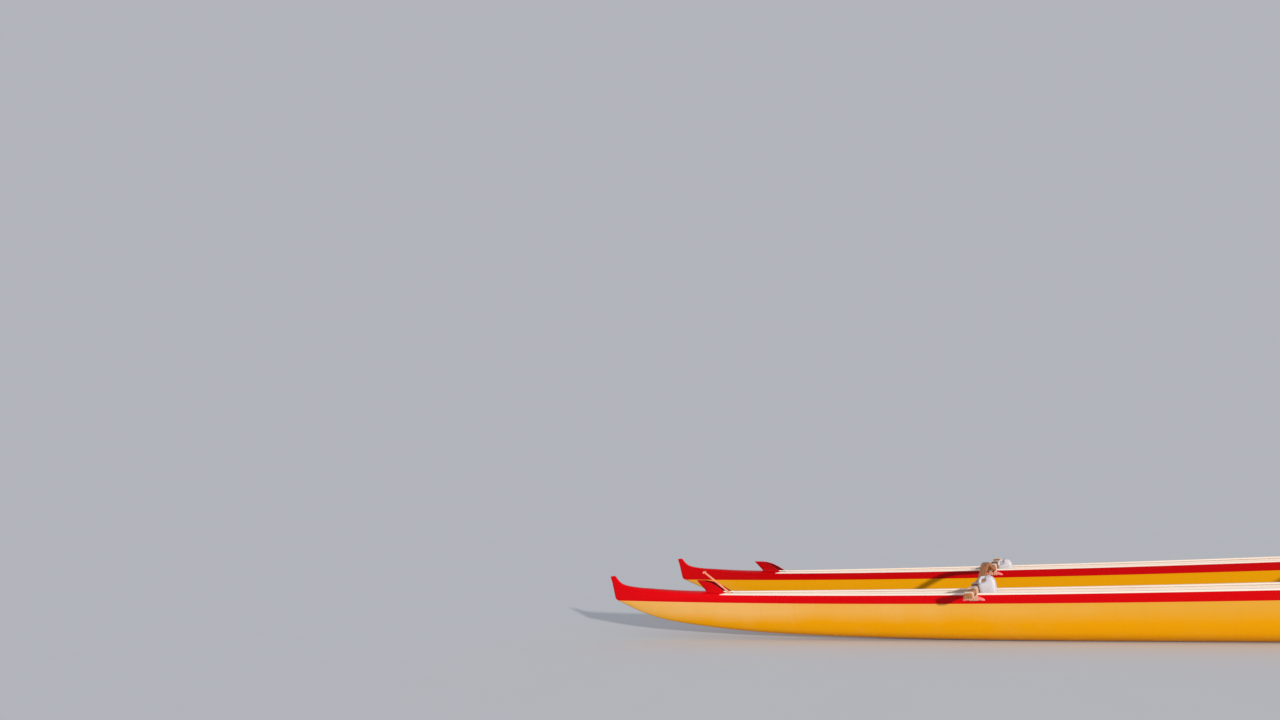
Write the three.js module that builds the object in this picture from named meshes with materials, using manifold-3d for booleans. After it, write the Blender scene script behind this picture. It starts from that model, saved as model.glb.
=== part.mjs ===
// A double outrigger canoe for paddlers: two slim open hulls of the same build, side by side, held
// together by two arched crossbeams that are lashed to the gunwales. Millimetres, +X towards the bow,
// +Y to port, +Z up. The origin is on the ground, under the middle of the canoe.
import * as THREE from "three";
import { mergeVertices } from "three/addons/utils/BufferGeometryUtils.js";
import Module from "manifold-3d";

const wasm = await Module();
wasm.setup();

// Driving dimensions
const LENGTH = 13400; // a hull, from the foot of the stem to the same place at the stern
const MIDSHIP = LENGTH / 2;
const HULL_SPACING = 2120; // between the two hulls' centrelines
const GAP = 0.3; // between pieces that touch
const WALL = 14; // a hull's side
const FLOOR = 20; // a hull's bottom, which is thicker

const HALF_BEAM = 214; // at the top of the yellow shell, amidships
const STEM_HALF_WIDTH = 11;
const BEAM_POWER = 2.6; // how suddenly the hull narrows towards its ends
const TUMBLEHOME = 0.07; // the share by which the sides lean in above the shell, amidships
const BAND_AMIDSHIPS = 411; // height of the seam between the shell and the strake
const BAND_RISE = 92;
const SHEER_AMIDSHIPS = 502; // height of the strake's top edge
const SHEER_RISE = 99;
const FULLNESS_AMIDSHIPS = 2.4; // 2 is an ellipse, less is more of a V
const FULLNESS_AT_ENDS = 1.55;
const STERN_STRETCH = 1.1; // the keel rises over a longer way at the stern

const RAIL = { thickness: 18, overhangOut: 10, overhangIn: 18, chamfer: 6, taper: 70 };
const BOW_DECK = 1765; // length of the bow piece
const STERN_DECK = 1500;
const DECK_THICKNESS = 12;
const CROWN = 0.26; // the deck's crown for each millimetre of half width
const BULKHEAD = { bow: 1280, stern: 1020 }; // from each stem to the tank's end: solid up to there
const SHELL_CUTS = [95, 4100, 9300, LENGTH - 105]; // the shell is made in three lengths
const STRAKE_CUTS = [BOW_DECK, MIDSHIP, LENGTH - STERN_DECK]; // strakes and rails are made in two

const BEAM = { width: 80, thickness: 50, corner: 12, past: 385, front: 4695, rear: 8695 };
const ARCH = { rise: 110, top: -200, toPort: 700, toStarboard: 575 }; // where a beam arches, across
const SEATS = [3550, 4860, 6150, 7450, 8860, 10150]; // from the bow to each seat's middle
const SEAT = { length: 230, thickness: 22, belowSheer: 78 };
const SPREADER = { width: 40, thickness: 30, belowSheer: 52 };
const CLEAT = { halfLength: 114, depth: 26, belowSheer: 32 };
const ROPE = 10; // thickness of a layer of lashing

// The keel's height (second column) by the distance from the stem (first column).
const KEEL = [
  [70, 500], [180, 450], [320, 388], [470, 330], [750, 250], [1120, 188],
  [1830, 106], [2610, 56], [3710, 22], [4870, 4], [5600, 0],
];
// The bow piece seen from the side: distance from the stem, height of the deck's middle line.
const BOW_TOP = [
  [-20, 825], [60, 823], [82, 792], [109, 761], [150, 727], [200, 706], [380, 671],
  [640, 646], [980, 618], [1370, 597], [1800, 590],
];
const STERN_TOP = [
  [-20, 772], [60, 770], [82, 748], [109, 729], [150, 706], [200, 691], [380, 662],
  [640, 640], [980, 615], [1370, 597], [1800, 590],
];
// The stem's leading edge: distance from the stem's foot, height.
const BOW_STEM = [[-20, 818], [0, 737], [15, 642], [32, 535], [50, 514], [70, 502]];
const STERN_STEM = [[-20, 765], [0, 700], [15, 622], [32, 530], [50, 513], [70, 502]];

const yellow = new THREE.MeshStandardMaterial({ color: 0xf0a30f, roughness: 0.3, metalness: 0 });
const red = new THREE.MeshStandardMaterial({ color: 0xdc0a12, roughness: 0.3, metalness: 0 });
const white = new THREE.MeshStandardMaterial({ color: 0xf4efe6, roughness: 0.4, metalness: 0 });
const wood = new THREE.MeshStandardMaterial({ color: 0xb9803f, roughness: 0.45, metalness: 0 });
const rope = new THREE.MeshStandardMaterial({ color: 0xc9b48a, roughness: 0.9, metalness: 0 });
const jug = new THREE.MeshStandardMaterial({ color: 0xe9ecec, roughness: 0.35, metalness: 0 });

const canoe = new THREE.Group();
canoe.name = "double_outrigger_canoe";

// A smooth curve through a table of two columns, at x.
function smooth(table, x) {
  const last = table.length - 1;
  if (x <= table[0][0]) return table[0][1];
  if (x >= table[last][0]) return table[last][1];
  const i = table.findIndex((row, k) => x < table[k + 1][0]);
  const slope = (k) => (table[k + 1][1] - table[k][1]) / (table[k + 1][0] - table[k][0]);
  const tangent = (k) => (k === 0 || k === last ? slope(Math.min(k, last - 1)) : (slope(k - 1) + slope(k)) / 2);
  const width = table[i + 1][0] - table[i][0];
  const u = (x - table[i][0]) / width;
  return (
    table[i][1] * (1 + 2 * u) * (1 - u) ** 2 +
    table[i + 1][1] * u * u * (3 - 2 * u) +
    width * (tangent(i) * u * (1 - u) ** 2 - tangent(i + 1) * u * u * (1 - u))
  );
}

// The hull's lines, by the distance aft of the bow.
const station = (aft) => (aft - MIDSHIP) / MIDSHIP;
const toX = (aft) => MIDSHIP - aft;
const sheerHeight = (aft) => SHEER_AMIDSHIPS + SHEER_RISE * station(aft) ** 2;
const bandHeight = (aft) => BAND_AMIDSHIPS + BAND_RISE * station(aft) ** 2;
const keelHeight = (aft) =>
  aft < MIDSHIP ? smooth(KEEL, aft) : smooth(KEEL, (LENGTH - aft) / STERN_STRETCH);
const fullness = (aft) =>
  FULLNESS_AT_ENDS + (FULLNESS_AMIDSHIPS - FULLNESS_AT_ENDS) * (1 - station(aft) ** 2);
function bandHalfWidth(aft) {
  const narrowing = Math.max(0, 1 - Math.abs(station(aft)) ** BEAM_POWER);
  return STEM_HALF_WIDTH + (HALF_BEAM - STEM_HALF_WIDTH) * narrowing;
}
const sheerHalfWidth = (aft) =>
  bandHalfWidth(aft) * (1 - TUMBLEHOME * Math.max(0, 1 - station(aft) ** 2));

// Places from first to last, crowded towards both ends by the power given.
function places(first, last, count, power = 1) {
  return Array.from({ length: count }, (_, i) => {
    const u = (2 * i) / (count - 1) - 1;
    const eased = Math.sign(u) * (1 - (1 - Math.abs(u)) ** power);
    return first + ((last - first) * (eased + 1)) / 2;
  });
}

// The closed solid through a row of rings of [x, y, z] points, each with the same number of points.
function loft(rings) {
  const count = rings[0].length;
  const faces = [];
  for (let r = 0; r + 1 < rings.length; r++)
    for (let i = 0; i < count; i++) {
      const a = r * count + i;
      const b = r * count + ((i + 1) % count);
      faces.push(a, b, b + count, a, b + count, a + count);
    }
  const end = (rings.length - 1) * count;
  for (let i = 1; i + 1 < count; i++) faces.push(0, i + 1, i, end, end + i, end + i + 1);
  return facingOut(new Float32Array(rings.flat(2)), new Uint32Array(faces));
}

function facingOut(vertProperties, triVerts) {
  const corner = (k) => new THREE.Vector3().fromArray(vertProperties, 3 * triVerts[k]);
  let volume = 0;
  for (let k = 0; k < triVerts.length; k += 3)
    volume += corner(k).dot(corner(k + 1).cross(corner(k + 2)));
  if (volume < 0)
    for (let k = 0; k < triVerts.length; k += 3)
      [triVerts[k + 1], triVerts[k + 2]] = [triVerts[k + 2], triVerts[k + 1]];
  return new wasm.Manifold(new wasm.Mesh({ numProp: 3, vertProperties, triVerts }));
}

// A three.js geometry, placed by a matrix, as a solid.
function solid(geometry, matrix = new THREE.Matrix4()) {
  const bare = geometry.clone().applyMatrix4(matrix);
  bare.deleteAttribute("normal");
  bare.deleteAttribute("uv");
  const merged = mergeVertices(bare, 1e-3);
  return facingOut(merged.attributes.position.array, new Uint32Array(merged.index.array));
}

// A box between two corners.
function block([x0, x1], [y0, y1], [z0, z1]) {
  const middle = new THREE.Matrix4().makeTranslation((x0 + x1) / 2, (y0 + y1) / 2, (z0 + z1) / 2);
  return solid(new THREE.BoxGeometry(Math.abs(x1 - x0), Math.abs(y1 - y0), Math.abs(z1 - z0)), middle);
}

function add(name, shape, material) {
  const { numVert, numProp, vertProperties, triVerts } = shape.getMesh();
  const points = new Float32Array(numVert * 3);
  for (let i = 0; i < numVert; i++)
    points.set(vertProperties.subarray(i * numProp, i * numProp + 3), i * 3);
  const geometry = new THREE.BufferGeometry();
  geometry.setAttribute("position", new THREE.BufferAttribute(points, 3));
  geometry.setIndex(new THREE.BufferAttribute(triVerts, 1));
  const flat = geometry.toNonIndexed();
  flat.computeVertexNormals();
  const mesh = new THREE.Mesh(flat, material);
  mesh.name = name;
  canoe.add(mesh);
}

// Half of a hull's section under the band, from the side in to the keel: [half width, height] pairs.
function underBand(aft, inset, floor, steps) {
  const width = bandHalfWidth(aft) - inset;
  const top = bandHeight(aft);
  const keel = keelHeight(aft) + floor;
  const power = 2 / fullness(aft);
  return Array.from({ length: steps + 1 }, (_, i) => {
    const angle = (Math.PI / 2) * (i / steps);
    return [width * Math.cos(angle) ** power, top - (top - keel) * Math.sin(angle) ** power];
  });
}

const mirrored = (half, x, y) => [
  ...half.map(([w, z]) => [x, y + w, z]),
  ...half.slice(0, -1).reverse().map(([w, z]) => [x, y - w, z]),
];

// The space inside a hull, open upwards, taken in by an inset on its sides and floor.
function cavity(y, inset) {
  const ends = [BULKHEAD.bow + inset, LENGTH - BULKHEAD.stern - inset];
  return loft(
    places(...ends, 23, 1.25).map((aft) => {
      const side = sheerHalfWidth(aft) - WALL - inset;
      const half = [
        [side, 1200],
        [side, sheerHeight(aft)],
        ...underBand(aft, WALL + inset, FLOOR + inset, 5),
      ].reverse();
      return [
        ...half.map(([w, z]) => [toX(aft), y + w, z]),
        ...half.slice(1).reverse().map(([w, z]) => [toX(aft), y - w, z]),
      ];
    }),
  );
}

// One length of the shell. The outermost stations crowd towards the stems.
function shell(y, length) {
  const all = places(SHELL_CUTS[0], SHELL_CUTS[3], 31, 1.5);
  const [first, last] = [SHELL_CUTS[length], SHELL_CUTS[length + 1]];
  const within = all.filter((aft) => aft > first + 40 && aft < last - 40);
  const ends = [length > 0 ? first + GAP : first, length < 2 ? last - GAP : last];
  const outside = [ends[0], ...within, ends[1]].map((aft) =>
    mirrored(underBand(aft, 0, 0, 6), toX(aft), y),
  );
  return loft(outside).subtract(cavity(y, 0));
}

// Half of a strake: the planking on the shell's top edge. side is 1 to port and -1 to starboard.
function strake(y, side, length, grow = 0, wall = WALL) {
  return loft(
    places(STRAKE_CUTS[length] + GAP, STRAKE_CUTS[length + 1] - GAP, 13).map((aft) => {
      const band = bandHalfWidth(aft);
      const sheer = sheerHalfWidth(aft);
      const low = bandHeight(aft) + GAP;
      const high = sheerHeight(aft);
      return [
        [toX(aft), y + side * (band - wall - grow), low],
        [toX(aft), y + side * (band + grow), low],
        [toX(aft), y + side * (sheer + grow), high],
        [toX(aft), y + side * (sheer - wall - grow), high],
      ];
    }),
  );
}

// Half of a gunwale rail, on top of a strake, narrowed where it begins at a deck.
function rail(y, side, length, grow = 0) {
  const first = length === 0 ? STRAKE_CUTS[0] + 4 : STRAKE_CUTS[1] + GAP / 2;
  const last = length === 0 ? STRAKE_CUTS[1] - GAP / 2 : STRAKE_CUTS[2] - 4;
  const tip = length === 0 ? first : last;
  const [inFirst, inLast] = length === 0 ? [first + RAIL.taper, last] : [first, last - RAIL.taper];
  const along = places(inFirst, inLast, 12);
  length === 0 ? along.unshift(first) : along.push(last);
  return loft(
    along.map((aft) => {
      const narrow = aft === tip ? RAIL.overhangIn / 2 : 0;
      const inner = sheerHalfWidth(aft) - WALL - RAIL.overhangIn + narrow - grow;
      const outer = sheerHalfWidth(aft) + RAIL.overhangOut - narrow / 2 + grow;
      const low = sheerHeight(aft) + GAP - grow;
      const high = sheerHeight(aft) + GAP + RAIL.thickness + grow;
      const c = RAIL.chamfer;
      return [
        [inner, low], [outer, low], [outer, high - c],
        [outer - c, high], [inner + c, high], [inner, high - c],
      ].map(([w, z]) => [toX(aft), y + side * w, z]);
    }),
  );
}

const railTop = (aft) => sheerHeight(aft) + GAP + RAIL.thickness;

// The bow or stern piece before it is hollowed. turn is 1 at the bow and -1 at the stern.
function endPiece(y, turn, top, stem, length, lift = 0) {
  const from = [-20, -10, 0, 15, 32, 50, 60, 82, 109, 150, 200, 290, 380, 510, 640, 980, 1370];
  return loft(
    [...from, length].map((distance) => {
      const aft = turn > 0 ? distance : LENGTH - distance;
      const low = distance < 70 ? smooth(stem, distance) : bandHeight(aft) + GAP;
      const crest = smooth(top, distance) + lift;
      const edge = sheerHalfWidth(aft);
      const crown = CROWN * edge;
      const half = [
        [bandHalfWidth(aft), low],
        [edge, crest - crown],
        [0.62 * edge, crest - 0.36 * crown],
        [0, crest],
      ];
      return mirrored(half, toX(aft), y);
    }),
  );
}

// The hollow under a deck, and the V-shaped end of the cockpit that is cut into the deck.
function deckHollow(y, turn, top, length) {
  const bulkhead = turn > 0 ? BULKHEAD.bow : BULKHEAD.stern;
  const along = [bulkhead, 1370, length + 20];
  const under = loft(
    along.map((distance) => {
      const aft = turn > 0 ? distance : LENGTH - distance;
      const roof = smooth(top, distance) - CROWN * sheerHalfWidth(aft) - DECK_THICKNESS;
      const width = sheerHalfWidth(aft) - WALL;
      return [[width, 300], [width, roof], [-width, roof], [-width, 300]].map(([w, z]) => [
        toX(aft), y + w, z,
      ]);
    }),
  );
  const edge = sheerHalfWidth(length) - WALL - RAIL.overhangIn;
  const apex = length - V_DEPTH + 15;
  const corner = (distance) => toX(turn > 0 ? distance : LENGTH - distance);
  const plan = new THREE.Shape([
    new THREE.Vector2(corner(apex), y),
    new THREE.Vector2(corner(length + 20), y + edge + 6),
    new THREE.Vector2(corner(length + 20), y - edge - 6),
  ]);
  const cut = new THREE.ExtrudeGeometry(plan, { depth: 700, bevelEnabled: false });
  return under.add(solid(cut, new THREE.Matrix4().makeTranslation(0, 0, 300)));
}

const V_DEPTH = 340; // from the cockpit's pointed end to the end of the deck

// The V-shaped splash guard on the bow deck, raked forward. Its foot follows a hyperbola.
const GUARD = { height: 134, thickness: 11, rake: 0.88, nose: 18, steps: 14, reach: 6 };
function splashGuard(y) {
  const foot = BOW_DECK - V_DEPTH;
  const span = sheerHalfWidth(BOW_DECK) - GUARD.reach - RAIL.overhangIn / 2;
  const bend = (V_DEPTH - 6) / (Math.hypot(span, GUARD.nose) - GUARD.nose);
  const rings = places(-span, span, GUARD.steps + 1).map((q) => {
    const share = Math.abs(q) / span;
    const aft = foot + bend * (Math.hypot(q, GUARD.nose) - GUARD.nose);
    const slope = (bend * q) / Math.hypot(q, GUARD.nose);
    const outward = new THREE.Vector2(-1, slope).normalize().multiplyScalar(GUARD.thickness / 2);
    const height = GUARD.height * (1 - share ** 4.3) + 10;
    const deck = smooth(BOW_TOP, aft) - CROWN * sheerHalfWidth(aft) * share ** 2;
    const point = (side, up) => [
      toX(aft + side * outward.x - GUARD.rake * up),
      y + q + side * outward.y + 0.12 * up * Math.sign(q) * share,
      deck + up,
    ];
    return [point(1, -24), point(1, height), point(-1, height), point(-1, -24)];
  });
  return loft(rings).subtract(endPiece(y, 1, BOW_TOP, BOW_STEM, BOW_DECK + 30, GAP));
}

// A board or bar across the inside of a hull, cut to fit between its sides.
function fitted(y, aft, shape) {
  const length = aft < MIDSHIP ? 0 : 1;
  return shape
    .intersect(cavity(y, GAP))
    .subtract(strake(y, 1, length, GAP))
    .subtract(strake(y, -1, length, GAP));
}

function seat(y, aft) {
  const top = sheerHeight(aft) - SEAT.belowSheer;
  const x = toX(aft);
  const half = SEAT.length / 2;
  const board = block([x - half, x + half], [y - 300, y + 300], [top - SEAT.thickness, top]);
  return fitted(y, aft, board);
}

function spreader(y, aft, grow = 0) {
  const top = sheerHeight(aft) - SPREADER.belowSheer;
  const half = SPREADER.width / 2 + grow;
  const bar = block(
    [toX(aft) - half, toX(aft) + half],
    [y - 300, y + 300],
    [top - SPREADER.thickness - grow, top + grow],
  );
  return grow ? bar : fitted(y, aft, bar);
}

// A crossbeam, straight over each hull and arched between them.
function crossbeam(aft, grow = 0) {
  const bottom = railTop(aft) + GAP + Math.abs(slopeOfSheer(aft)) * (BEAM.width / 2);
  const end = HULL_SPACING / 2 + sheerHalfWidth(aft) + BEAM.past;
  const across = [-end, ...places(ARCH.top - ARCH.toStarboard, ARCH.top + ARCH.toPort, 17), end];
  const w = BEAM.width / 2 + grow;
  const t = BEAM.thickness / 2 + grow;
  const c = BEAM.corner;
  const section = [
    [-w, -t + c], [-w + c, -t], [w - c, -t], [w, -t + c],
    [w, t - c], [w - c, t], [-w + c, t], [-w, t - c],
  ];
  return loft(
    across.map((y) => {
      const middle = bottom + BEAM.thickness / 2 + archRise(y);
      return section.map(([x, z]) => [toX(aft) + x, y, middle + z]);
    }),
  );
}

const archRise = (y) => {
  const share = (y - ARCH.top) / (y > ARCH.top ? ARCH.toPort : ARCH.toStarboard);
  return Math.abs(share) < 1 ? ARCH.rise * Math.cos((Math.PI / 2) * share) ** 2 : 0;
};
const slopeOfSheer = (aft) => (2 * SHEER_RISE * station(aft)) / MIDSHIP;
const beamTop = (aft) =>
  railTop(aft) + GAP + Math.abs(slopeOfSheer(aft)) * (BEAM.width / 2) + BEAM.thickness;

// The bar on a strake's outside that the lashing goes under, with a drooping horn at each end.
function cleat(y, side, aft, grow = 0) {
  const l = CLEAT.halfLength;
  const outline = [
    [-l, -24 - grow], [-60, -16 - grow], [60, -16 - grow], [l, -24 - grow],
    [l, -16 + grow], [55, 12 + grow], [-55, 12 + grow], [-l, -16 + grow],
  ];
  const shape = new THREE.Shape(outline.map(([x, z]) => new THREE.Vector2(x, z)));
  const depth = CLEAT.depth + 10 + 2 * grow;
  const bar = new THREE.ExtrudeGeometry(shape, { depth, bevelEnabled: false });
  const skin = y + side * (sheerHalfWidth(aft) + CLEAT.depth + grow);
  const place = new THREE.Matrix4()
    .makeTranslation(toX(aft), side > 0 ? skin : skin + depth, sheerHeight(aft) - CLEAT.belowSheer)
    .multiply(new THREE.Matrix4().makeRotationX(Math.PI / 2));
  const whole = solid(bar, place);
  return whole.subtract(strake(y, side, aft < MIDSHIP ? 0 : 1, grow ? 0 : -1, 80));
}

// The lashing at one gunwale: over the beam, down to the cleat outside and round the spreader inside.
function lashing(y, side, aft) {
  const length = aft < MIDSHIP ? 0 : 1;
  const x = toX(aft);
  const edge = sheerHalfWidth(aft);
  const top = beamTop(aft) + ROPE;
  const across = (from, to) => [y + side * (edge + from), y + side * (edge + to)];
  const sheer = sheerHeight(aft);
  const outer = block([x - 52, x + 52], across(3, 46), [sheer - 68, top]);
  const over = block([x - 50, x + 50], across(-96, 46), [railTop(aft) + GAP, top]);
  const low = sheerHeight(aft) - SPREADER.belowSheer - SPREADER.thickness - ROPE;
  const inner = block([x - 50, x + 50], across(-96, -WALL - RAIL.overhangIn - 1), [low, top]);
  return outer
    .add(over)
    .add(inner)
    .subtract(crossbeam(aft, GAP))
    .subtract(spreader(y, aft, GAP))
    .subtract(cleat(y, side, aft, GAP))
    .subtract(rail(y, side, length, GAP))
    .subtract(strake(y, side, length, GAP));
}

// The paddle that is kept in the port hull: its blade stands on the hull's floor and its shaft leans
// on the end of the rail, beside the splash guard.
const PADDLE = { length: 1120, shaft: 14, grip: 105, bladeLength: 440, bladeWidth: 150, blade: 12 };

function paddle() {
  const start = PADDLE.length - PADDLE.bladeLength;
  const shaftLength = start + 0.4 * PADDLE.bladeLength;
  const along = new THREE.Matrix4().makeRotationZ(Math.PI / 2).setPosition(shaftLength / 2, 0, 0);
  const shaft = solid(
    new THREE.CylinderGeometry(PADDLE.shaft, PADDLE.shaft, shaftLength, 12),
    along,
  );
  const grip = solid(new THREE.CylinderGeometry(15, 15, PADDLE.grip, 12));
  const end = PADDLE.length;
  const half = PADDLE.bladeWidth / 2;
  const outline = new THREE.Shape();
  outline.moveTo(start, -13);
  outline.bezierCurveTo(start + 90, -20, start + 150, -half, start + 290, -half);
  outline.bezierCurveTo(end - 50, -half, end, -half * 0.5, end, 0);
  outline.bezierCurveTo(end, half * 0.5, end - 50, half, start + 290, half);
  outline.bezierCurveTo(start + 150, half, start + 90, 20, start, 13);
  const flat = { depth: PADDLE.blade, bevelEnabled: false, curveSegments: 5 };
  const middle = new THREE.Matrix4().makeTranslation(0, 0, -PADDLE.blade / 2);
  return shaft.add(grip).add(solid(new THREE.ExtrudeGeometry(outline, flat), middle));
}

// The last value on the way from one to another at which a shape is still clear of the others.
function lastFree(from, to, shapeAt, others) {
  const clear = (value) =>
    others.every((other) => shapeAt(value).intersect(other).volume() < 1e-3);
  const step = Math.sign(to - from) * 8;
  let free = from;
  while (Math.abs(to - free) > 8 && clear(free + step)) free += step;
  let hit = free + step;
  for (let i = 0; i < 12; i++) {
    const middle = (free + hit) / 2;
    if (clear(middle)) free = middle;
    else hit = middle;
  }
  return free;
}

// The paddle leaning in the port hull: lowered onto what is forward, then let down to the floor.
function leaningPaddle(y, forward, hull) {
  const shape = paddle();
  const at = (lift, slide) => {
    const grip = new THREE.Vector3(toX(1476), y + 130, 840 + lift);
    const down = new THREE.Vector3(toX(2282), y - 2, 120 + lift).sub(grip).normalize();
    const up = down.clone().cross(new THREE.Vector3(0.204, -0.978, -0.049)).normalize();
    const across = up.clone().cross(down);
    const place = new THREE.Matrix4().makeBasis(down, across, up);
    return shape.transform(place.setPosition(grip.addScaledVector(down, slide)).elements);
  };
  const lift = lastFree(200, -150, (value) => at(value, 0), forward) + GAP;
  const slide = lastFree(-150, 100, (value) => at(lift, value), [hull]) - GAP;
  return at(lift, slide);
}

// A bailer cut from a plastic jug: no bottom, a scooped side, and a handle round a hole in its shoulder.
const BAILER = { height: { port: 262, starboard: 207 }, wall: 3, corner: 30, aft: 4831 };
const BAILER_RINGS = [
  // height in the taller one, half length and half width
  [0, 92, 68], [176, 92, 68], [212, 84, 62], [240, 66, 50], [254, 50, 38],
];
const HANDLE_HOLE = { x: [10, 48], z: [184, 226] };

function jugSolid(cut, inset = 0) {
  return loft(
    BAILER_RINGS.map(([full, l, w]) => {
      const z = Math.max(0, full - cut - inset);
      const [halfLength, halfWidth] = [l - inset, w - inset];
      const corner = Math.min(BAILER.corner, halfWidth * 0.9);
      const ring = [];
      for (const [sx, sy, turn] of [[1, 1, 0], [-1, 1, 1], [-1, -1, 2], [1, -1, 3]])
        for (const step of [0, 0.5, 1]) {
          const angle = (turn + step) * (Math.PI / 2);
          ring.push([
            sx * (halfLength - corner) + corner * Math.cos(angle),
            sy * (halfWidth - corner) + corner * Math.sin(angle),
            z === 0 && inset ? -1 : z,
          ]);
        }
      return ring;
    }),
  );
}

function bailer(y, height) {
  const cut = BAILER.height.port - height;
  const hole = (grow) =>
    block(
      [HANDLE_HOLE.x[0] - grow, HANDLE_HOLE.x[1] + grow],
      [-100, 100],
      [HANDLE_HOLE.z[0] - cut - grow, HANDLE_HOLE.z[1] - cut + grow],
    );
  const cap = solid(
    new THREE.CylinderGeometry(21, 21, 14, 16),
    new THREE.Matrix4().makeRotationX(Math.PI / 2).setPosition(-25, 0, height - 7),
  );
  const scoop = solid(
    new THREE.CylinderGeometry(78, 78, 100, 20),
    new THREE.Matrix4().makeRotationZ(Math.PI / 2).setPosition(-90, 0, -6),
  );
  return jugSolid(cut)
    .subtract(jugSolid(cut, BAILER.wall).subtract(hole(BAILER.wall)))
    .subtract(hole(0))
    .add(cap)
    .subtract(scoop)
    .translate([toX(BAILER.aft), y, sheerHeight(SEATS[1]) - SEAT.belowSheer + GAP]);
}

const SIDES = [["port", 1], ["starboard", -1]];
const ENDS = [["front", BEAM.front], ["rear", BEAM.rear]];
for (const [name, hullSide] of SIDES) {
  const y = (hullSide * HULL_SPACING) / 2;
  const hull = name + "_hull";
  const shells = [0, 1, 2].map((length) => shell(y, length));
  ["bow", "middle", "stern"].forEach((part, i) => add(hull + "_shell_" + part, shells[i], yellow));
  const bow = endPiece(y, 1, BOW_TOP, BOW_STEM, BOW_DECK);
  const bowPiece = bow.subtract(deckHollow(y, 1, BOW_TOP, BOW_DECK));
  add(hull + "_bow_piece", bowPiece, red);
  add(
    hull + "_stern_piece",
    endPiece(y, -1, STERN_TOP, STERN_STEM, STERN_DECK).subtract(
      deckHollow(y, -1, STERN_TOP, STERN_DECK),
    ),
    red,
  );
  const guard = splashGuard(y);
  add(hull + "_splash_guard", guard, red);
  const forward = [guard, bowPiece, rail(y, 1, 0), strake(y, 1, 0)];
  if (hullSide > 0) add("paddle", leaningPaddle(y, forward, shells[0]), wood);
  add(hull + "_bailer", bailer(y, BAILER.height[name]), jug);
  SEATS.forEach((aft, i) => add(hull + "_seat_" + (i + 1), seat(y, aft), wood));
  for (const [sideName, side] of [["outboard", hullSide], ["inboard", -hullSide]])
    ENDS.forEach(([end, aft], length) => {
      const board = strake(y, side, length).add(cleat(y, side, aft));
      add([hull, "strake", end, sideName].join("_"), board, red);
      add([hull, "rail", end, sideName].join("_"), rail(y, side, length), white);
      add([hull, "lashing", end, sideName].join("_"), lashing(y, side, aft), rope);
    });
  ENDS.forEach(([end, aft]) => add([hull, "spreader", end].join("_"), spreader(y, aft), wood));
}
ENDS.forEach(([end, aft]) => add("crossbeam_" + end, crossbeam(aft), wood));

export default canoe;
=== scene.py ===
# The double-hulled outrigger canoe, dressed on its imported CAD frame. Metres, +X towards the bow.
import math

import bmesh
import bpy
from mathutils import Matrix, Vector


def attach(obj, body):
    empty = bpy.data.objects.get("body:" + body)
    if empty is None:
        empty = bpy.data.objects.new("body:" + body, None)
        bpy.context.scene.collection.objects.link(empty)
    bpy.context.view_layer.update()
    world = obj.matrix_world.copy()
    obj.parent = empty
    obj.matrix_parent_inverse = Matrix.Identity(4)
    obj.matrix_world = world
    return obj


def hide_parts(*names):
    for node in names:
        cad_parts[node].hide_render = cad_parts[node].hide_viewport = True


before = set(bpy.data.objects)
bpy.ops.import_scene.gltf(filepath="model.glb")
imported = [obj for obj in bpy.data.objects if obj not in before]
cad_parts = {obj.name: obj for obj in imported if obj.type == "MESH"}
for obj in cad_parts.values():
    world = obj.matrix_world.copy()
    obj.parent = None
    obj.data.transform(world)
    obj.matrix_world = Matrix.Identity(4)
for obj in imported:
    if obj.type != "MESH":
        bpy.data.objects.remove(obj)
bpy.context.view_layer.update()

# ---- The hulls' lines, as in the CAD. Stations count aft from the foot of the stem. ----
LENGTH = 13.4
MID = LENGTH / 2
SPACING = 2.12  # from one hull's middle to the other's
WALL, FLOOR, DECK = 0.014, 0.020, 0.012  # how thick the laminate is
BOW_DECK, STERN_DECK = 1.765, 1.5  # the decks' lengths
CROWN = 0.26  # a deck's crown, as a share of its half width
V_DEPTH = 0.34  # how far the cockpit's V reaches into the bow's deck
BULKHEAD = {1: 1.28, -1: 1.02}  # from the end in, for the bow (1) and the stern (-1)
BEAMS = {"front": 4.695, "rear": 8.695}
SEATS = (3.55, 4.86, 6.15, 7.45, 8.86, 10.15)
SEAT_LENGTH, SEAT_THICK, SEAT_DROP = 0.23, 0.022, 0.078
BAR_WIDTH, BAR_THICK, BAR_DROP = 0.04, 0.03, 0.052
RAIL_THICK, RAIL_OUT, RAIL_IN = 0.018, 0.010, 0.018
BEAM_WIDTH, BEAM_THICK, BEAM_PAST = 0.08, 0.05, 0.385
CLEAT_HALF, CLEAT_DEPTH, CLEAT_DROP = 0.114, 0.026, 0.032
CLEAT_TALL, HORN_TALL = 0.034, 0.007  # its middle is as tall as both, its tips as the second
HORN_START, HORN_DROOP = 0.42, 0.020  # a share of the cleat's half length, and how far it drops
HAIR = 0.0003  # between pieces that rest on each other
FIT = 0.0008  # between a board's end and the hull's side

# A line's height amidships, and how much more it is at the ends.
SHEER, SHEER_RISE = 0.502, 0.099
BAND, BAND_RISE = 0.411, 0.092
# A measure at the ends, and how much more it is amidships.
END_FULLNESS, MORE_FULLNESS = 1.55, 0.85
END_HALF_WIDTH, MORE_WIDTH, WIDTH_POWER = 0.011, 0.203, 2.6
TUMBLEHOME = 0.07  # the share by which the hull is narrower at its top edge, amidships
STERN_STRETCH = 1.1  # the stern's keel line is the bow's, so much longer

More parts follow.
